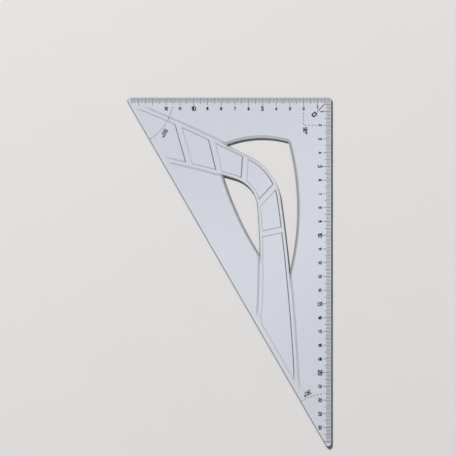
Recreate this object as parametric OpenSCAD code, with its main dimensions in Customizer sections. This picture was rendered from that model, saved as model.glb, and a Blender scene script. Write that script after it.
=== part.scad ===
// Drafting triangle, 30 and 60 degrees, with a centimetre scale on both legs.
// It lies flat. The origin is the zero corner of both scales, on the underside:
// the short leg runs along -X, the long leg along -Y, and +Z is up.

/* [Plate] */
// Length of the long leg, up to the sharp 30 degree corner
long_leg = 260; // [230:1:300]
// Thickness of the plate
plate_t = 2; // [1.6:0.1:3]
// Radius that rounds the two acute tips
tip_r = 2.4; // [1.5:0.1:4]
// Radius that rounds the right-angle corner
corner_r = 1; // [0.5:0.1:2]
// Width of the bevel along the top of the hypotenuse
drawing_bevel_w = 0.7; // [0.4:0.1:2]
// Depth of that bevel
drawing_bevel_h = 0.8; // [0.3:0.1:1.2]

/* [Grip band] */
// Height of the ribs above the face of the plate
grip_h = 0.6; // [0.3:0.1:1.2]
// Depth of the cells below the face of the plate
cell_depth = 0.3; // [0.1:0.1:0.7]
// Width of the sloping walls of the cells
cell_draft = 0.8; // [0.3:0.1:1.2]
// Width of the softer walls that close the cells towards the hypotenuse
end_draft = 1; // [0.4:0.1:2.4]
// Width of the ribs along the two edges of the band
rib_w = 1.9; // [1.2:0.1:2.6]
// Width of the ribs across the band
cross_rib_w = 3.4; // [2:0.1:5]
// Width of the soft slope from the face of the plate up to the band
flank_w = 1.6; // [0.8:0.1:2.4]
// Width of the slope that brings the ribs down to the plate at the ends of the band
end_flank_w = 3.2; // [1:0.1:6]
// Flat strip between the band and the hypotenuse
hypotenuse_margin = 3.5; // [2:0.1:8]
// Flat strip between the band and the short leg
scale_margin = 6.4; // [5:0.1:12]
// Radius in the outer corner of the cells that have a rounded one
cell_corner_r = 3.6; // [1:0.1:5]
// Width of the bevel along the top of the band's edges in the windows
band_bevel_w = 0.5; // [0.3:0.1:1.2]
// Depth of that bevel
band_bevel_h = 0.9; // [0.4:0.1:1.4]

/* [Outer edge of the band] */
// Distance from the long leg to the start of the bend
outer_x = 58.1; // [55:0.1:61]
// Distance from the short leg to the start of the bend
outer_y = 43.5; // [41:0.1:46]
// Direction of the edge there, in degrees below level
outer_heading = 27.3; // [24:0.1:31]
// Radius of the stretch before the bend
outer_start_r = 1000; // [700:10:1500]
// Radius of the bend
outer_bend_r = 40.2; // [36:0.1:44]
// Angle that the bend turns through
outer_turn = 54.9; // [51:0.1:58]
// Radius of the stretch after the bend
outer_end_r = 1510; // [1100:10:2000]

/* [Inner edge of the band] */
// Distance from the long leg to the start of the bend
inner_x = 70.5; // [68:0.1:73]
// Distance from the short leg to the start of the bend
inner_y = 58.6; // [56:0.1:61]
// Direction of the edge there, in degrees below level
inner_heading = 16.3; // [13:0.1:20]
// Radius of the stretch before the bend
inner_start_r = 745; // [550:5:950]
// Radius of the bend
inner_bend_r = 23.4; // [19:0.1:28]
// Angle that the bend turns through
inner_turn = 69; // [65:0.1:73]
// Radius of the stretch after the bend
inner_end_r = 540; // [400:10:750]

/* [Windows] */
// Width of the bevel along the top of the rims of both windows
rim_bevel_w = 2; // [0.8:0.1:2.6]
// Depth of that bevel
rim_bevel_h = 0.7; // [0.4:0.1:1.4]
// Distance from the long leg to the rounded corner of the large window
large_x = 33; // [30:0.1:35]
// Distance from the short leg to the rounded corner of the large window
large_y = 31.6; // [29:0.1:34]
// Direction of the rim there, in degrees below level
large_heading = 14.6; // [10:0.1:18]
// Radius of the top rim of the large window
large_top_r = 70; // [60:0.5:80]
// Radius of the rounded corner of the large window
large_corner_r = 3.2; // [2:0.1:6]
// Angle that the rounded corner turns through
large_turn = 60.9; // [58:0.1:66]
// Radius of the side rim of the large window
large_side_r = 188; // [170:1:220]
// Distance from the long leg to the middle of the small window's rim
small_x = 67.9; // [66:0.1:72]
// Distance from the short leg to the middle of the small window's rim
small_y = 84.5; // [82:0.1:90]
// Direction of that rim, in degrees below level
small_heading = 65.5; // [62:0.1:69]
// Radius of that rim
small_rim_r = 245; // [200:5:400]

/* [Print] */
// Thickness of the ink
ink_t = 0.02; // [0.01:0.01:0.05]
// Width of a millimetre mark
fine_w = 0.27; // [0.1:0.01:0.32]
// Width of a half-centimetre or centimetre mark
bold_w = 0.35; // [0.2:0.01:0.45]
// Length of a millimetre mark
millimetre_l = 3.6; // [2:0.1:4.5]
// Length of a half-centimetre mark
half_l = 4.6; // [3:0.1:5.4]
// Length of a centimetre mark
centimetre_l = 5.6; // [4:0.1:6.2]
// Length of every fifth centimetre mark
five_l = 6.5; // [5:0.1:8]
// Bare plate between the scales and the edge
edge_gap = 0.15; // [0.05:0.05:0.5]
// Bare plate between the two scales, and between the print and the hypotenuse
mark_gap = 0.8; // [0.4:0.1:2]
// Reach of the zero pointer along each leg
pointer_reach = 10; // [6:0.1:14]
// Size of the dotted square at the right angle
square_size = 20; // [16:0.5:30]
// Radius of the dotted arc at the 60 degree tip
sixty_arc_r = 35.3; // [25:0.1:45]
// Radius of the dotted arc at the 30 degree tip
thirty_arc_r = 44.9; // [38:0.1:60]
// Length of a dot of the dotted lines
dot_l = 0.9; // [0.5:0.1:1.6]
// Width of a dot of the dotted lines
dot_w = 0.55; // [0.2:0.05:0.8]
// Spacing of the dots
dot_pitch = 2.1; // [1.8:0.1:3.5]

/* [Hidden] */

sharp_tip = 30;
blunt_tip = 90 - sharp_tip;
short_leg = long_leg * tan(sharp_tip);
// Shortest way from the zero corner to the hypotenuse
hypotenuse_far = long_leg * sin(sharp_tip);
// How far the rounding of a tip reaches along each of its sides
sharp_end = tip_r / tan(sharp_tip / 2);
blunt_end = tip_r / tan(blunt_tip / 2);
// Last millimetre of each scale
short_last = floor(short_leg - blunt_end);
long_last = floor(long_leg - sharp_end);
top_z = plate_t + grip_h;
floor_z = plate_t - cell_depth;
seat_z = plate_t / 2;
// How far cuts and seats run past the faces that they meet
cut = 1;
// How far the chords of an arc may fall short of it
chord_error = 0.005;
cross_rib_l = 60;
corner_overlap = 0.03;

// Headings of the three sides, going round clockwise: short leg, long leg, hypotenuse
short_way = 0;
long_way = 90;
hypotenuse_way = 270 - sharp_tip;

// Direction of travel, and outward from the part, for a heading in degrees below level
function along(a) = [cos(a), -sin(a)];
function out(a) = [sin(a), cos(a)];
function heading_of(v) = atan2(v[0], v[1]);

// Stations [place, heading] at the ends of a straight line about a place
function line(place, heading, l) = [for (d = [-l / 2, l / 2]) [place + d * along(heading), heading]];

// Stations [place, heading] along an arc that is followed clockwise, from station number first on
function arc(centre, r, from, to, first = 0) =
    let (count = ceil((to - from) / (2 * acos(1 - chord_error / r))))
    [for (i = [first : count]) let (a = from + (to - from) * i / count) [centre + r * out(a), a]];

// Angle in degrees of a stretch of an arc
function angle_of(l, r) = l / r * 180 / PI;

// Stations along an edge of three tangent arcs. The edge is given by the place and heading at the
// start of its bend, and by the lengths and radii of the stretches before and after the bend.
function edge(place, heading, before, before_r, bend_r, turn, after, after_r) =
    let (
        end = heading + turn,
        bend_centre = place - bend_r * out(heading),
        before_centre = place - before_r * out(heading),
        after_centre = bend_centre + (bend_r - after_r) * out(end)
    )
    concat(
        arc(before_centre, before_r, heading - angle_of(before, before_r), heading),
        arc(bend_centre, bend_r, heading, end, 1),
        arc(after_centre, after_r, end, end + angle_of(after, after_r), 1)
    );

// Outline through stations, moved outwards by d
function outline(stations, d = 0) = [for (s = stations) s[0] + d * out(s[1])];
function reversed(list) = [for (i = [len(list) - 1 : -1 : 0]) list[i]];

// The band's edges are drawn past the hypotenuse at both ends, and the rims past the band
band_before = long_leg / 2;
band_after = long_leg * 0.65;
large_before = 70;
large_after = 110;
small_run = 60;

outer_edge = edge([-outer_x, -outer_y], outer_heading, band_before, outer_start_r, outer_bend_r,
    outer_turn, band_after, outer_end_r);
inner_edge = edge([-inner_x, -inner_y], inner_heading, band_before, inner_start_r, inner_bend_r,
    inner_turn, band_after, inner_end_r);
large_rim = edge([-large_x, -large_y], large_heading, large_before, large_top_r, large_corner_r,
    large_turn, large_after, large_side_r);

// The small window lies to the right of its rim, so the rim is followed upwards
small_way = small_heading + 180;
small_centre = [-small_x, -small_y] - small_rim_r * out(small_way);
small_turn = angle_of(small_run, small_rim_r);
small_rim = arc(small_centre, small_rim_r, small_way - small_turn, small_way + small_turn);

// Ribs across the band: middle, and direction in degrees below level
cross_ribs = [
    [[-107.3, -33.9], 74.3],
    [[-84.1, -42.7], 76.5],
    [[-62.9, -51.0], 94],
    [[-46.3, -70.3], 133],
    [[-43.1, -97.6], 168.5],
];
// How many of them, from the short leg on, close a cell with a rounded corner
rounded_cells = 2;

// The lines where the band ends, short of the hypotenuse and of the short leg
band_ends = [
    line((hypotenuse_far - hypotenuse_margin) * out(hypotenuse_way), hypotenuse_way, 3 * long_leg),
    line([0, -scale_margin], short_way, 3 * long_leg),
];

// Closed profiles [offset outwards, height] of the band's slopes, and of what is cut off beyond its
// ends
over_z = top_z + cut / 2;
outer_flank = [[-cut, seat_z], [flank_w, seat_z], [flank_w, plate_t], [0, top_z], [-cut, top_z]];
inner_flank = [[cut, top_z], [0, top_z], [-flank_w, plate_t], [-flank_w, seat_z], [cut, seat_z]];
end_flank = [[0, plate_t], [long_leg, plate_t], [long_leg, over_z],
    [-end_flank_w * (over_z - plate_t) / grip_h, over_z]];

// Closed profiles of what bevels take off, along the top of an outer or an inner edge at height z,
// and along the top of a rim
function bevel_reach(w, h) = w * (h + cut / 4) / h;
function outer_bevel(w, h, z) = [[0, z - h], [cut, z - h], [cut, z + cut / 4],
    [-bevel_reach(w, h), z + cut / 4]];
function inner_bevel(w, h, z) = [[bevel_reach(w, h), z + cut / 4], [-cut, z + cut / 4],
    [-cut, z - h], [0, z - h]];
rim_foot = plate_t - rim_bevel_h;
rim_bevel = [[-cut, rim_foot], [0, rim_foot],
    [rim_bevel_w * (over_z - rim_foot) / rim_bevel_h, over_z], [-cut, over_z]];

// The walls round a cell lean. How far one stands out at a height, from its edge at the top of the
// ribs, or for a wall towards the hypotenuse from its edge at the face of the plate.
under_z = floor_z - cut;
lean = cell_draft / (top_z - floor_z);
end_lean = end_draft / cell_depth;
function leaning(z) = lean * (top_z - z);
function end_leaning(z) = end_lean * (plate_t - z);

// Closed profiles of those walls: outer and inner rib, cross rib, rounded corner and end of the band
outer_wall = [[-rib_w - leaning(under_z), under_z], [cut, under_z], [cut, over_z],
    [-rib_w - leaning(over_z), over_z]];
inner_wall = [[-cut, under_z], [rib_w + leaning(under_z), under_z],
    [rib_w + leaning(over_z), over_z], [-cut, over_z]];
cross_foot = cross_rib_w / 2 + leaning(under_z);
cross_top = cross_rib_w / 2 + leaning(over_z);
cross_wall = [[-cross_foot, under_z], [cross_foot, under_z], [cross_top, over_z], [-cross_top, over_z]];
corner_wall = [[-leaning(under_z), under_z], [cut, under_z], [cut, over_z], [-leaning(over_z), over_z]];
end_wall = [[-end_leaning(under_z), under_z], [long_leg, under_z], [long_leg, over_z],
    [-end_leaning(over_z), over_z]];

// Sweeps a closed profile along stations
module swept(stations, profile) {
    m = len(profile);
    n = len(stations);
    points = [for (s = stations) for (p = profile)
        let (q = s[0] + p[0] * out(s[1])) [q[0], q[1], p[1]]];
    sides = [for (i = [0 : n - 2]) for (j = [0 : m - 1])
        let (k = (j + 1) % m) [i * m + j, (i + 1) * m + j, (i + 1) * m + k, i * m + k]];
    start = [for (j = [0 : m - 1]) j];
    end = [for (j = [m - 1 : -1 : 0]) (n - 1) * m + j];
    polyhedron(points, concat(sides, [start, end]));
}

// An upright block on an outline, from one height to another
module block(points, z0, z1) {
    translate([0, 0, z0])
        linear_extrude(z1 - z0)
            polygon(points);
}

// The flat triangle, with its three corners rounded
module blank() {
    zero_centre = [-corner_r, -corner_r];
    sharp_centre = [-tip_r, sharp_end - long_leg];
    blunt_centre = [blunt_end - short_leg, -tip_r];
    block(outline(concat(
        arc(zero_centre, corner_r, short_way, long_way),
        arc(sharp_centre, tip_r, long_way, hypotenuse_way),
        arc(blunt_centre, tip_r, hypotenuse_way, short_way + 360)
    )), 0, plate_t);
}

// The part of the plate that the grip band may cover
module grip_field() {
    far = hypotenuse_far - hypotenuse_margin;
    block([
        [0, -scale_margin],
        [0, -far / sin(sharp_tip)],
        [(scale_margin * sin(sharp_tip) - far) / cos(sharp_tip), -scale_margin],
    ], 0, over_z);
}

// The raised band between its two edges, with soft slopes down to the plate on all sides
module grip_band() {
    intersection() {
        difference() {
            union() {
                block(concat(outline(outer_edge), reversed(outline(inner_edge))), seat_z, top_z);
                swept(outer_edge, outer_flank);
                swept(inner_edge, inner_flank);
            }
            for (end = band_ends)
                swept(end, end_flank);
        }
        grip_field();
    }
}

// What rounds the outer corner of the cell that lies before a cross rib. The centre of the
// rounding is one radius, less a little overlap, away from the rib and from the outer rib.
module cell_corner(rib) {
    near = cell_corner_r - corner_overlap;
    outer_centre = [-outer_x, -outer_y] - outer_start_r * out(outer_heading);
    way = along(rib[1]);
    foot = rib[0] - (cross_rib_w / 2 + near) * out(rib[1]) - outer_centre;
    room = outer_start_r - rib_w - near;
    back = foot * way + sqrt(pow(foot * way, 2) - foot * foot + room * room);
    centre = outer_centre + foot - back * way;
    swept(arc(centre, cell_corner_r, heading_of(centre - outer_centre), rib[1]), corner_wall);
}

// The sunk cells between the ribs
module cells() {
    difference() {
        block(concat(outline(outer_edge), reversed(outline(inner_edge))), floor_z, top_z + cut / 4);
        swept(outer_edge, outer_wall);
        swept(inner_edge, inner_wall);
        for (rib = cross_ribs)
            swept(line(rib[0], rib[1], cross_rib_l), cross_wall);
        for (i = [0 : rounded_cells - 1])
            cell_corner(cross_ribs[i]);
        for (end = band_ends)
            swept(end, end_wall);
    }
}

// The large window, between its rim and the bevelled outer edge of the band
module large_window() {
    difference() {
        union() {
            block(outline(large_rim), -cut, over_z);
            swept(large_rim, rim_bevel);
        }
        difference() {
            block(outline(outer_edge), -2 * cut, top_z + 2 * cut);
            swept(outer_edge, outer_bevel(band_bevel_w, band_bevel_h, top_z));
        }
    }
}

// The small window, between the bevelled inner edge of the band and its rim
module small_window() {
    intersection() {
        union() {
            block(concat(outline(small_rim), [small_centre]), -cut, over_z);
            swept(small_rim, rim_bevel);
        }
        union() {
            block(outline(inner_edge), -2 * cut, top_z + 2 * cut);
            swept(inner_edge, inner_bevel(band_bevel_w, band_bevel_h, top_z));
        }
    }
}

// What bevels the hypotenuse
module drawing_bevel() {
    swept(line(hypotenuse_far * out(hypotenuse_way), hypotenuse_way, 3 * long_leg),
        outer_bevel(drawing_bevel_w, drawing_bevel_h, plate_t));
}

// The ink of a print, pressed into the underside until it is flush
module ink() {
    color("black")
        linear_extrude(ink_t)
            children();
}

// Every print on the underside
module print() {
    short_leg_millimetre_print();
    short_leg_half_centimetre_print();
    short_leg_centimetre_print();
    long_leg_millimetre_print();
    long_leg_half_centimetre_print();
    long_leg_centimetre_print();
    zero_pointer_print();
    right_angle_print();
    sixty_degree_print();
    thirty_degree_print();
}

module plate() {
    color([0.81, 0.83, 0.88, 0.7])
        difference() {
            union() {
                blank();
                grip_band();
            }
            large_window();
            small_window();
            cells();
            drawing_bevel();
            translate([0, 0, -cut])
                linear_extrude(cut + ink_t)
                    print();
        }
}

// Marks along the short leg, at the given millimetres. A mark stops short of the other scale and
// of the hypotenuse, which closes in at the slope of the far tip, and is left out if nothing remains.
module marks(places, leg, tip, l, five, w) {
    for (i = places) {
        full = i % 50 == 0 ? five : l;
        room = min(full, i - mark_gap, (leg - i) * tan(tip) - mark_gap);
        if (room > edge_gap + w)
            translate([-i - w / 2, -room])
                square([w, room - edge_gap]);
    }
}

// Swaps the two legs, so that what lies along the short leg lies along the long one
module on_long_leg() {
    mirror([1, -1, 0])
        children();
}

function millimetres(last) = [for (i = [1 : last]) if (i % 5 != 0) i];
function halves(last) = [for (i = [5 : 10 : last]) i];
function centimetres(last) = [for (i = [10 : 10 : last]) i];

module short_leg_millimetre_print() {
    marks(millimetres(short_last), short_leg, blunt_tip, millimetre_l, millimetre_l, fine_w);
}

module short_leg_half_centimetre_print() {
    marks(halves(short_last), short_leg, blunt_tip, half_l, half_l, bold_w);
}

module short_leg_centimetre_print() {
    marks(centimetres(short_last), short_leg, blunt_tip, centimetre_l, five_l, bold_w);
}

module long_leg_millimetre_print() {
    on_long_leg()
        marks(millimetres(long_last), long_leg, sharp_tip, millimetre_l, millimetre_l, fine_w);
}

module long_leg_half_centimetre_print() {
    on_long_leg()
        marks(halves(long_last), long_leg, sharp_tip, half_l, half_l, bold_w);
}

module long_leg_centimetre_print() {
    on_long_leg()
        marks(centimetres(long_last), long_leg, sharp_tip, centimetre_l, five_l, bold_w);
}

// The diagonal line from the zero corner, wider in its outer half
module zero_pointer_print() {
    length = pointer_reach * sqrt(2);
    rotate(-135)
        polygon([
            [mark_gap, -fine_w / 2], [length / 2, -fine_w / 2], [length / 2, -dot_w / 2],
            [length, -dot_w / 2], [length, dot_w / 2], [length / 2, dot_w / 2],
            [length / 2, fine_w / 2], [mark_gap, fine_w / 2],
        ]);
}

// One dot of a dotted line, with its length along X
module dot() {
    square([dot_l, dot_w], center = true);
}

module right_angle_print() {
    half_way = square_size / 2;
    count = floor(half_way / dot_pitch);
    for (i = [0 : count - 1]) {
        at = half_way + (i + 0.5) * half_way / count;
        translate([-at, -square_size])
            dot();
        translate([-square_size, -at])
            rotate(90)
                dot();
    }
}

// Dots along an arc about a tip, from one direction to another
module dotted_arc(centre, r, from, to) {
    count = floor((to - from) * PI / 180 * r / dot_pitch);
    for (i = [0 : count])
        translate(centre)
            rotate(from + i * (to - from) / count)
                translate([r, 0])
                    rotate(90)
                        dot();
}

// Angle at which a dot keeps clear of a side that starts at the tip
function clear_of(r, gap) = asin(gap / r);

module sixty_degree_print() {
    dotted_arc([-short_leg, 0], sixty_arc_r, clear_of(sixty_arc_r, dot_l + mark_gap) - blunt_tip,
        -clear_of(sixty_arc_r, five_l + mark_gap));
}

module thirty_degree_print() {
    dotted_arc([0, -long_leg], thirty_arc_r, 90 + clear_of(thirty_arc_r, five_l + mark_gap),
        90 + sharp_tip - clear_of(thirty_arc_r, dot_l + mark_gap));
}

module short_leg_millimetre_marks() {
    ink()
        short_leg_millimetre_print();
}

module short_leg_half_centimetre_marks() {
    ink()
        short_leg_half_centimetre_print();
}

module short_leg_centimetre_marks() {
    ink()
        short_leg_centimetre_print();
}

module long_leg_millimetre_marks() {
    ink()
        long_leg_millimetre_print();
}

module long_leg_half_centimetre_marks() {
    ink()
        long_leg_half_centimetre_print();
}

module long_leg_centimetre_marks() {
    ink()
        long_leg_centimetre_print();
}

module zero_pointer() {
    ink()
        zero_pointer_print();
}

module right_angle_mark() {
    ink()
        right_angle_print();
}

module sixty_degree_arc() {
    ink()
        sixty_degree_print();
}

module thirty_degree_arc() {
    ink()
        thirty_degree_print();
}

plate();
short_leg_millimetre_marks();
short_leg_half_centimetre_marks();
short_leg_centimetre_marks();
long_leg_millimetre_marks();
long_leg_half_centimetre_marks();
long_leg_centimetre_marks();
zero_pointer();
right_angle_mark();
sixty_degree_arc();
thirty_degree_arc();
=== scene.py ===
# Looks of the drafting triangle: clear tinted plastic, black print, and a plain pale studio.
import math

import bmesh
import bpy
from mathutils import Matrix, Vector
from mathutils.geometry import delaunay_2d_cdt


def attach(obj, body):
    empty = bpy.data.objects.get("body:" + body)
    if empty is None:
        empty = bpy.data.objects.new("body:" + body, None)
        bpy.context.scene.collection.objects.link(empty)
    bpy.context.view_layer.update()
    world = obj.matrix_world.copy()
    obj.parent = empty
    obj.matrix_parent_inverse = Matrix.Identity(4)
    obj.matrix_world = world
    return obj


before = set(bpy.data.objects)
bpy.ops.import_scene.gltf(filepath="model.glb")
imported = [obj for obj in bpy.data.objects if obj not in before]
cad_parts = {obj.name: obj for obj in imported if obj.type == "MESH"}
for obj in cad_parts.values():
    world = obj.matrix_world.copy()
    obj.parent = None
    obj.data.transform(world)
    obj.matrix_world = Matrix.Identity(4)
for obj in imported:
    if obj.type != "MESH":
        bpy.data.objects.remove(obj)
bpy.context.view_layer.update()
scene = bpy.context.scene
MM = 0.001

# Numerals of the scales, in millimetres. DEPTH is from the drawing edge, W is the width of the stroke.
CENTIMETRE = 10
SHORT_NUMERALS = 12
LONG_NUMERALS = 24
NUMERAL_DEPTH = 8.0
FIRST_NUMERAL_DEPTH = 6.9
NUMERAL_H = 1.95
NUMERAL_W = 0.57
FIVE_H = 2.6
FIVE_W = 0.69
SHORT_TURN = 0
LONG_TURN = -90

# The zero and the angle labels. PLACE is in millimetres from the zero corner, TURN is in degrees.
ZERO_PLACE = (-12.2, -12.2)
ZERO_TURN = -45
ZERO_H = 3.1
ZERO_W = 0.95
ZERO_STRETCH = 1.25
LABEL_H = 2.55
LABEL_W = 0.6
LABEL_STRETCH = 1.15
RIGHT_ANGLE_PLACE = (-18.8, -24.1)
RIGHT_ANGLE_TURN = -90
RIGHT_ANGLE_STRETCH = 0.95
SIXTY_PLACE = (-121.4, -25.8)
SIXTY_TURN = 238
THIRTY_PLACE = (-17.4, -215.2)
THIRTY_TURN = 207

# The ink lies in the underside: a hair below it, and as deep as the ink of the scales
INK_LOW = -0.002
INK_HIGH = 0.02
# Fine lines carry less ink than figures and dots. Each pair goes from the thinnest to the thickest tone.
LINE_TONES = ((0.030, 0.030, 0.038, 1), (0.012, 0.012, 0.016, 1))
LINE_GLOSS = 0.5
FIGURE_TONES = ((0.006, 0.006, 0.008, 1), (0.002, 0.002, 0.003, 1))
FIGURE_GLOSS = 0.05
INK_GRAIN_RANGE = (0.3, 0.7)
INK_ROUGHNESS = (0.5, 0.65)
DOTTED = ("right_angle_mark", "sixty_degree_arc", "thirty_degree_arc")

# Heights on the plate, in millimetres: its top, and the lower edge of the bevels of the windows
PLATE_TOP = 2.0
TOP_BLUR = 0.05
RIM_FOOT = 1.3

# Tints of the plastic: the flat faces, the painted shade of slopes and walls, and the frosted walls
FLAT_TINTS = ((0.875, 0.905, 0.994, 1), (0.895, 0.920, 0.998, 1))
SLOPE_SHADE_TINT = (0.06, 0.063, 0.08, 1)
FROST_TINT = (0.36, 0.40, 0.50, 1)
FROST_CLEAR = 0.3
PLASTIC_IOR = 1.59
# What is left of the light that falls through the flat faces and through the upright walls, and how
# much the walls count where the light leaves the plate and where it enters
FLAT_PASS = (0.985, 0.99, 1.0, 1)
WALL_PASS = (0.03, 0.03, 0.035, 1)
LEAVING_SHARE = 1.0
ENTERING_SHARE = 0.15
# Hairline scratches: how they are turned and drawn out, and the haze that they leave
SCRATCH_TURN = (0, 0, 0.6)
SCRATCH_SCALE = (40.0, 1400.0, 40.0)
SCRATCH_RANGE = (0.55, 0.75)
HAZE = (0.02, 0.09)

# Slopes, from 0 for flat to 1 for upright, over which one look of a face passes into the next
RIB_END_SLOPES = (0.14, 0.35)
CELL_WALL_SLOPES = (0.40, 0.55)
RIM_SLOPES = (0.05, 0.3)
END_WALL_SLOPES = (0.29, 0.325)
DRAWING_EDGE_SLOPES = (0.4, 0.6)
# The upward part of the normal, from where a face starts to count as a wall to where it is one
WALL_NORMALS = (0.45, 0.2)

# Painted shade is darkest on walls that face this way, standing in for the dark gap that they leave on
# the paper
DARK_SIDE = (-1.0, 0.0, 0.0)
# How far a face is turned to the dark side, from -1 to 1, where its darkness changes
CELL_FAINT_TURN = (-1.0, -0.2)
CELL_DARK_TURN = (0.35, 0.95)
RIM_FAR_TURN = (0.0, -0.8)
RIM_NEAR_TURN = (0.0, 0.8)
# How much painted shade the faces get, from 0 for the flat tint to 1 for the darkest painted shade.
# MORE, FAR and NEAR are added.
RIB_END_DARK = 0.455
CELL_FAINT_DARK = (0.3, 0.6)
CELL_DARK_MORE = 0.4
EDGE_DARK = 0.35
EDGE_DARK_BY_SLOPE = 0.6
EDGE_TURN_FACTORS = (0.85, 1.15)
RIM_DARK = 0.55
RIM_FAR_DARK = -0.12
RIM_FAR_DARK_BY_DEPTH = 0.55
RIM_NEAR_DARK = 0.10
RIM_NEAR_DARK_BY_DEPTH = 0.15
# The painted shade of the walls that close the cells fades up the band: the places in millimetres, and
# their share of the rim
END_WALL_PLACES = (-110.0, -80.0)
END_WALL_SHARES = (0.70, 0.25)

# The picture: what its middle shows, and how much of the plate's plane it spans
VIEW_MIDDLE = (-75.0, -94.8)
VIEW_SPAN = 331.8
CAMERA_HEIGHT = 2.0
CAMERA_REACH = 50
SENSOR = 36.0

FLOOR_SIZE = 8
FLOOR_Z = -0.00003
FLOOR_TINTS = ((0.800, 0.785, 0.775, 1), (0.815, 0.800, 0.790, 1))
FLOOR_ROUGHNESS = 0.9

# Where the key light stands from the middle of the picture, how far off, how wide and how strong
KEY_WAY = Vector((-0.65, 1.25, 1.0))
KEY_FAR = 4.0
KEY_SIZE = 1.1
KEY_POWER = 652

# Light of the studio: on the paper, and as seen in the plastic at the sides and overhead
STUDIO_TINT = (0.97, 0.98, 1.0, 1)
FILL_LIGHT = 0.11
SIDE_LIGHT = 0.6
OVERHEAD_FROM = 0.5
OVERHEAD_FULL = 0.95
# The overhead strip that the plate reflects: the direction across it, and where and how wide it is
STRIP_ACROSS = (0.61, -0.79, 0.0)
STRIP_PLACE = 0.017
STRIP_WIDTH = 0.058
STRIP_LIGHT = 0.85
BESIDE_STRIP_LIGHT = 0.18


# Node helpers

def new_material(name):
    mat = bpy.data.materials.new(name)
    mat.use_nodes = True
    tree = mat.node_tree
    tree.nodes.clear()
    return mat, tree


def fill(tree, socket, value):
    """Links a socket to another, or sets its value."""
    if isinstance(value, bpy.types.NodeSocket):
        tree.links.new(value, socket)
    else:
        socket.default_value = value


def node(tree, kind, inputs=None, **settings):
    made = tree.nodes.new(kind)
    for key, value in settings.items():
        setattr(made, key, value)
    for key, value in (inputs or {}).items():
        fill(tree, made.inputs[key], value)
    return made


def maths(tree, operation, a, b=0.0, c=0.0):
    return node(tree, "ShaderNodeMath", {0: a, 1: b, 2: c}, operation=operation).outputs[0]


def dot(tree, a, b):
    made = node(tree, "ShaderNodeVectorMath", {0: a, 1: b}, operation="DOT_PRODUCT")
    return made.outputs["Value"]


def noise(tree, place, scale, detail):
    made = node(tree, "ShaderNodeTexNoise", {"Vector": place, "Scale": scale, "Detail": detail})
    return made.outputs[0]


def ramp(tree, value, low, high, to_low=0.0, to_high=1.0):
    made = node(tree, "ShaderNodeMapRange", {
        "Value": value, "From Min": low, "From Max": high, "To Min": to_low, "To Max": to_high,
    }, interpolation_type="SMOOTHSTEP")
    return made.outputs["Result"]


def mix_colour(tree, factor, a, b):
    return node(tree, "ShaderNodeMix", {0: factor, 6: a, 7: b}, data_type="RGBA").outputs[2]


def mix_value(tree, factor, a, b):
    return node(tree, "ShaderNodeMix", {0: factor, 2: a, 3: b}, data_type="FLOAT").outputs[0]


# Materials

def plate_tint(tree, place, normal, slope):
    """The plastic's own tint on the flat faces, with painted shade on slopes and walls for the light
    that they turn aside.
    """
    spot = node(tree, "ShaderNodeSeparateXYZ", {0: place}).outputs
    height = spot[2]
    facing = maths(tree, "DIVIDE", dot(tree, normal, DARK_SIDE), slope)

    # On the ribs, the walls of the cells get faint painted shade on one side and dark painted shade on
    # the other
    faint = ramp(tree, facing, *CELL_FAINT_TURN, *CELL_FAINT_DARK)
    dark = ramp(tree, facing, *CELL_DARK_TURN, 0.0, CELL_DARK_MORE)
    cell_wall = maths(tree, "ADD", faint, dark)
    # The long slopes at the ends of the ribs get little painted shade
    rib_end = ramp(tree, slope, *RIB_END_SLOPES, 0.0, RIB_END_DARK)
    raised = mix_value(tree, ramp(tree, slope, *CELL_WALL_SLOPES), rib_end, cell_wall)

    # The steep bevels of the drawing edges get painted shade that is much the same all round
    firm = maths(tree, "MULTIPLY_ADD", slope, EDGE_DARK_BY_SLOPE, EDGE_DARK)
    edge = maths(tree, "MULTIPLY", firm, ramp(tree, facing, -1.0, 1.0, *EDGE_TURN_FACTORS))
    # The shallow bevels of the windows get painted shade that darkens towards their lower edge, most on
    # the far side
    depth = ramp(tree, height, PLATE_TOP * MM, RIM_FOOT * MM)
    far_dark = maths(tree, "MULTIPLY_ADD", depth, RIM_FAR_DARK_BY_DEPTH, RIM_FAR_DARK)
    far = maths(tree, "MULTIPLY", ramp(tree, facing, *RIM_FAR_TURN), far_dark)
    near_dark = maths(tree, "MULTIPLY_ADD", depth, RIM_NEAR_DARK_BY_DEPTH, RIM_NEAR_DARK)
    near = maths(tree, "MULTIPLY", ramp(tree, facing, *RIM_NEAR_TURN), near_dark)
    rim = maths(tree, "ADD", RIM_DARK, maths(tree, "ADD", far, near))
    # The softer walls that close the cells get little painted shade, least of all at the upper end of
    # the band
    end_low, end_high = END_WALL_PLACES
    end_wall = ramp(tree, spot[1], end_low * MM, end_high * MM, *END_WALL_SHARES)
    shown = mix_value(tree, ramp(tree, slope, *END_WALL_SLOPES), end_wall, 1.0)
    low = maths(tree, "MULTIPLY", ramp(tree, slope, *RIM_SLOPES), maths(tree, "MULTIPLY", rim, shown))
    bevel = mix_value(tree, ramp(tree, slope, *DRAWING_EDGE_SLOPES), low, edge)

    above = ramp(tree, height, (PLATE_TOP - TOP_BLUR) * MM, (PLATE_TOP + TOP_BLUR) * MM)
    flat_tint = mix_colour(tree, noise(tree, place, scale=28.0, detail=3.0), *FLAT_TINTS)
    # The painted shade darkens the plastic's own tint towards its darkest painted shade
    return mix_colour(tree, mix_value(tree, above, bevel, raised), flat_tint, SLOPE_SHADE_TINT)


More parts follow.
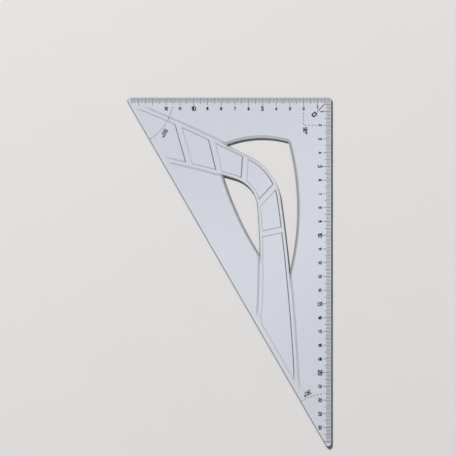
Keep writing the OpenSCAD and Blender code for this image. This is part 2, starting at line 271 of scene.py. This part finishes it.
def clear_plastic():
    mat, tree = new_material("clear_plastic")
    out = node(tree, "ShaderNodeOutputMaterial")
    place = node(tree, "ShaderNodeTexCoord").outputs["Object"]
    geometry = node(tree, "ShaderNodeNewGeometry").outputs
    normal = geometry["Normal"]
    inside = geometry["Backfacing"]
    upright = maths(tree, "ABSOLUTE", node(tree, "ShaderNodeSeparateXYZ", {0: normal}).outputs[2])
    level = maths(tree, "MULTIPLY", upright, upright)
    slope = maths(tree, "SQRT", maths(tree, "SUBTRACT", 1.0, level))
    # The plastic's own tint, with painted shade on its slopes and walls
    tint = plate_tint(tree, place, normal, slope)

    # Seen from outside, the upright walls are frosted by the mould and scatter some of the light
    wall = ramp(tree, upright, *WALL_NORMALS)
    frosted = maths(tree, "MULTIPLY", wall, maths(tree, "SUBTRACT", 1.0, inside))
    body_colour = mix_colour(tree, frosted, tint, FROST_TINT)
    clear = ramp(tree, frosted, 0.0, 1.0, 1.0, FROST_CLEAR)

    # Handling leaves fine hairline scratches and a faint haze
    scratch_place = node(tree, "ShaderNodeMapping", {
        "Vector": place, "Rotation": SCRATCH_TURN, "Scale": SCRATCH_SCALE,
    }).outputs[0]
    scratches = noise(tree, scratch_place, scale=1.0, detail=2.0)
    haze = ramp(tree, scratches, *SCRATCH_RANGE, *HAZE)
    bump = node(tree, "ShaderNodeBump", {"Height": scratches, "Strength": 0.02, "Distance": 0.02 * MM})
    body = node(tree, "ShaderNodeBsdfPrincipled", {
        "Base Color": body_colour, "Roughness": haze, "IOR": PLASTIC_IOR, "Transmission Weight": clear,
        "Normal": bump.outputs[0],
    })

    # Light that falls through the flat faces reaches the paper. Upright walls turn it aside where it
    # leaves the plate, and in small part where it enters. Its rays are followed back from the paper,
    # so they meet a wall from inside where the light enters.
    share = ramp(tree, inside, 0.0, 1.0, LEAVING_SHARE, ENTERING_SHARE)
    turned = maths(tree, "MULTIPLY", wall, share)
    through = mix_colour(tree, turned, FLAT_PASS, WALL_PASS)
    passing = node(tree, "ShaderNodeBsdfTransparent", {"Color": through})
    rays = node(tree, "ShaderNodeLightPath").outputs
    light_ray = maths(tree, "MAXIMUM", rays["Is Shadow Ray"], rays["Is Diffuse Ray"])
    both = node(tree, "ShaderNodeMixShader", {0: light_ray, 1: body.outputs[0], 2: passing.outputs[0]})
    tree.links.new(both.outputs[0], out.inputs["Surface"])
    return mat


def print_ink(name, tones, gloss):
    """Black ink under the plastic, from its thinnest to its thickest tone."""
    thin, thick = tones
    mat, tree = new_material(name)
    out = node(tree, "ShaderNodeOutputMaterial")
    place = node(tree, "ShaderNodeTexCoord").outputs["Object"]
    grain = noise(tree, place, scale=900.0, detail=3.0)
    colour = mix_colour(tree, grain, thick, thin)
    rough = ramp(tree, grain, *INK_GRAIN_RANGE, *INK_ROUGHNESS)
    body = node(tree, "ShaderNodeBsdfPrincipled", {
        "Base Color": colour, "Roughness": rough, "Specular IOR Level": gloss,
    })
    tree.links.new(body.outputs[0], out.inputs["Surface"])
    return mat


def pale_paper():
    mat, tree = new_material("pale_floor")
    out = node(tree, "ShaderNodeOutputMaterial")
    place = node(tree, "ShaderNodeTexCoord").outputs["Object"]
    colour = mix_colour(tree, noise(tree, place, scale=30.0, detail=4.0), *FLOOR_TINTS)
    body = node(tree, "ShaderNodeBsdfPrincipled", {"Base Color": colour, "Roughness": FLOOR_ROUGHNESS})
    tree.links.new(body.outputs[0], out.inputs["Surface"])
    return mat


# Numerals, as strokes along a middle line in a box one unit high. True closes a line.

GLYPH_W = 0.52
NARROW = {"1": 0.24, "°": 0.28}
GLYPH_GAP = 0.27
GLYPHS = {
    "0": [([(0, 0), (0, 1), (0.52, 1), (0.52, 0)], True)],
    "1": [([(0, 0.78), (0.24, 1), (0.24, 0)], False)],
    "2": [([(0, 0.86), (0, 1), (0.52, 1), (0.52, 0.5), (0, 0.32), (0, 0), (0.52, 0)], False)],
    "3": [([(0, 1), (0.52, 1), (0.52, 0), (0, 0)], False), ([(0.12, 0.52), (0.52, 0.52)], False)],
    "4": [([(0.38, 0), (0.38, 1), (0, 0.27), (0.54, 0.27)], False)],
    "5": [([(0.50, 1), (0.04, 1), (0.02, 0.58), (0.52, 0.58), (0.52, 0), (0, 0)], False)],
    "6": [([(0.48, 1), (0, 1), (0, 0), (0.52, 0), (0.52, 0.58), (0, 0.58)], False)],
    "7": [([(0, 1), (0.52, 1), (0.20, 0)], False)],
    "8": [([(0, 0), (0, 1), (0.52, 1), (0.52, 0)], True), ([(0, 0.53), (0.52, 0.53)], False)],
    "9": [([(0.04, 0), (0.52, 0), (0.52, 1), (0, 1), (0, 0.42), (0.52, 0.42)], False)],
    "°": [([(0, 0.72), (0, 1), (0.28, 1), (0.28, 0.72)], True)],
}
# Radius of the strokes' corners, and the glyphs whose corners stay nearly sharp
CORNER_R = 0.17
SHARP_R = 0.02
SHARP = "147"
# A rounded corner is drawn in this many steps, and takes a little less than half of each side
CORNER_STEPS = 5
SIDE_PARTS = 2.05
# The least lean that a mitre reckons with, so that sharp corners stay short
MITRE_LEAN = 0.5
# What the triangulation keeps, and how near corners have to be to count as one
KEEP_INSIDE = 1
SAME_CORNER = 1e-5


def rounded(points, r, closed):
    """The middle line with its corners rounded."""
    points = [Vector(p) for p in points]
    count = len(points)
    line = []
    for i, p in enumerate(points):
        if not closed and i in (0, count - 1):
            line.append(p)
            continue
        before = points[i - 1] - p
        after = points[(i + 1) % count] - p
        reach = min(r, before.length / SIDE_PARTS, after.length / SIDE_PARTS)
        start = p + before.normalized() * reach
        end = p + after.normalized() * reach
        for k in range(CORNER_STEPS + 1):
            t = k / CORNER_STEPS
            line.append(start * (1 - t) ** 2 + p * 2 * t * (1 - t) + end * t * t)
    return line


def stroke(line, half, closed):
    """The quads of a ribbon along a line, mitred at its points."""
    count = len(line)
    pairs = []
    for i, p in enumerate(line):
        before = line[i - 1] if closed or i > 0 else p
        after = line[(i + 1) % count] if closed or i < count - 1 else p
        arriving = (p - before).normalized() if before != p else (after - p).normalized()
        leaving = (after - p).normalized() if after != p else arriving
        way = (arriving + leaving).normalized()
        side = Vector((-way.y, way.x))
        lean = max(MITRE_LEAN, side.dot(Vector((-leaving.y, leaving.x))))
        offset = side * (half / lean)
        ends = Vector((0, 0))
        if not closed and i == 0:
            ends = -leaving * half
        if not closed and i == count - 1:
            ends = arriving * half
        pairs.append((p + ends + offset, p + ends - offset))
    quads = []
    for i in range(count if closed else count - 1):
        a = pairs[i]
        b = pairs[(i + 1) % count]
        quads.append((a[0], a[1], b[1], b[0]))
    return quads


def joined(quads):
    """Corners and triangles of one flat sheet that covers all the quads, without overlaps."""
    corners = [p for quad in quads for p in quad]
    faces = [tuple(range(4 * i, 4 * i + 4)) for i in range(len(quads))]
    found = delaunay_2d_cdt(corners, [], faces, KEEP_INSIDE, SAME_CORNER)
    points, _, triangles, _, _, sources = found
    covered = [triangle for triangle, under in zip(triangles, sources) if under]
    return points, covered


def write(text, place, turn, height, width, stretch=1.0):
    """Sheets for a short text about a place, turned anticlockwise in degrees, in millimetres."""
    widths = [NARROW.get(c, GLYPH_W) * stretch for c in text]
    gap = GLYPH_GAP * stretch
    along = Vector((math.cos(math.radians(turn)), math.sin(math.radians(turn))))
    up = Vector((-along.y, along.x))
    at = -(sum(widths) + gap * (len(text) - 1)) / 2
    sheets = []
    for c, glyph_w in zip(text, widths):
        corner_r = SHARP_R if c in SHARP else CORNER_R
        quads = []
        for points, closed in GLYPHS[c]:
            line = rounded([(x * stretch, y) for x, y in points], corner_r, closed)
            quads.extend(stroke(line, width / height / 2, closed))
        corners, faces = joined(quads)
        spots = []
        for p in corners:
            spots.append(Vector(place) + along * ((at + p.x) * height) + up * ((p.y - 0.5) * height))
        sheets.append((spots, faces))
        at += glyph_w + gap
    return sheets


def thicken(bm, corners, faces):
    """A flat sheet becomes a slab as thick as the ink."""
    used = sorted({i for face in faces for i in face})
    low = {i: bm.verts.new(Vector((corners[i].x, corners[i].y, INK_LOW)) * MM) for i in used}
    high = {i: bm.verts.new(Vector((corners[i].x, corners[i].y, INK_HIGH)) * MM) for i in used}
    sides = {(face[k - 1], face[k]) for face in faces for k in range(len(face))}
    for face in faces:
        bm.faces.new([high[i] for i in face])
        bm.faces.new([low[i] for i in reversed(face)])
    for a, b in sorted(sides):
        if (b, a) not in sides:
            bm.faces.new((low[a], low[b], high[b], high[a]))


def ink_piece(name, texts, material):
    bm = bmesh.new()
    for text in texts:
        for corners, faces in write(*text):
            thicken(bm, corners, faces)
    bmesh.ops.recalc_face_normals(bm, faces=bm.faces)
    mesh = bpy.data.meshes.new(name)
    bm.to_mesh(mesh)
    bm.free()
    piece = bpy.data.objects.new(name, mesh)
    scene.collection.objects.link(piece)
    mesh.materials.append(material)
    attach(piece, "root")


def scale_texts(last, place_of, turn):
    """The numerals of one scale. Every fifth is larger, and the first stands nearer the edge."""
    texts = []
    for n in range(1, last + 1):
        depth = FIRST_NUMERAL_DEPTH if n == 1 else NUMERAL_DEPTH
        height, width = (FIVE_H, FIVE_W) if n % 5 == 0 else (NUMERAL_H, NUMERAL_W)
        texts.append((str(n), place_of(CENTIMETRE * n, depth), turn, height, width))
    return texts


# The part

plastic = clear_plastic()
line_ink = print_ink("line_ink", LINE_TONES, LINE_GLOSS)
figure_ink = print_ink("figure_ink", FIGURE_TONES, FIGURE_GLOSS)
for name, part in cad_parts.items():
    print_material = figure_ink if name in DOTTED else line_ink
    part.data.materials.clear()
    part.data.materials.append(plastic if name == "plate" else print_material)

short_texts = scale_texts(SHORT_NUMERALS, lambda along, depth: (-along, -depth), SHORT_TURN)
ink_piece("short_leg_numerals", short_texts, figure_ink)
long_texts = scale_texts(LONG_NUMERALS, lambda along, depth: (-depth, -along), LONG_TURN)
ink_piece("long_leg_numerals", long_texts, figure_ink)
ink_piece("zero_numeral", [("0", ZERO_PLACE, ZERO_TURN, ZERO_H, ZERO_W, ZERO_STRETCH)], figure_ink)
ink_piece("angle_labels", [
    ("90°", RIGHT_ANGLE_PLACE, RIGHT_ANGLE_TURN, LABEL_H, LABEL_W, RIGHT_ANGLE_STRETCH),
    ("60°", SIXTY_PLACE, SIXTY_TURN, LABEL_H, LABEL_W, LABEL_STRETCH),
    ("30°", THIRTY_PLACE, THIRTY_TURN, LABEL_H, LABEL_W, LABEL_STRETCH),
], figure_ink)


# Studio

bpy.ops.mesh.primitive_plane_add(size=FLOOR_SIZE, location=(0, 0, FLOOR_Z))
floor = bpy.context.object
floor.name = "floor"
floor.data.materials.append(pale_paper())

# The studio looks bright in the gloss, and adds a little light to the shadows
world = bpy.data.worlds.new("studio")
scene.world = world
world.use_nodes = True
walls = world.node_tree
walls.nodes.clear()
rays = node(walls, "ShaderNodeLightPath").outputs
looked_at = maths(walls, "MAXIMUM", rays["Is Camera Ray"], rays["Is Glossy Ray"])
seen = maths(walls, "MAXIMUM", looked_at, rays["Is Transmission Ray"])
# A soft strip overhead brightens the middle of the plate
way = node(walls, "ShaderNodeTexCoord").outputs["Generated"]
overhead = node(walls, "ShaderNodeSeparateXYZ", {0: way}).outputs[2]
across = dot(walls, way, STRIP_ACROSS)
off_strip = maths(walls, "ABSOLUTE", maths(walls, "SUBTRACT", across, STRIP_PLACE))
ceiling = ramp(walls, off_strip, STRIP_WIDTH, 0.0, BESIDE_STRIP_LIGHT, STRIP_LIGHT)
upwards = ramp(walls, overhead, OVERHEAD_FROM, OVERHEAD_FULL)
seen_strength = mix_value(walls, upwards, SIDE_LIGHT, ceiling)
strength = maths(walls, "ADD", FILL_LIGHT, maths(walls, "MULTIPLY", seen, seen_strength))
glow = node(walls, "ShaderNodeBackground", {"Color": STUDIO_TINT, "Strength": strength})
node(walls, "ShaderNodeOutputWorld", {"Surface": glow.outputs[0]})

middle = Vector((VIEW_MIDDLE[0] * MM, VIEW_MIDDLE[1] * MM, 0))
key_data = bpy.data.lights.new("key", "AREA")
key_data.shape = "DISK"
key_data.size = KEY_SIZE
key_data.energy = KEY_POWER
key = bpy.data.objects.new("key", key_data)
key.location = middle + KEY_WAY * KEY_FAR
key.rotation_euler = (middle - key.location).to_track_quat("-Z", "Y").to_euler()
scene.collection.objects.link(key)

camera_data = bpy.data.cameras.new("camera")
camera_data.sensor_width = SENSOR
camera_data.lens = SENSOR * CAMERA_HEIGHT / (VIEW_SPAN * MM)
camera_data.clip_end = CAMERA_REACH
camera = bpy.data.objects.new("camera", camera_data)
camera.location = middle + Vector((0, 0, CAMERA_HEIGHT))
scene.collection.objects.link(camera)
scene.camera = camera
scene.view_settings.view_transform = "Standard"
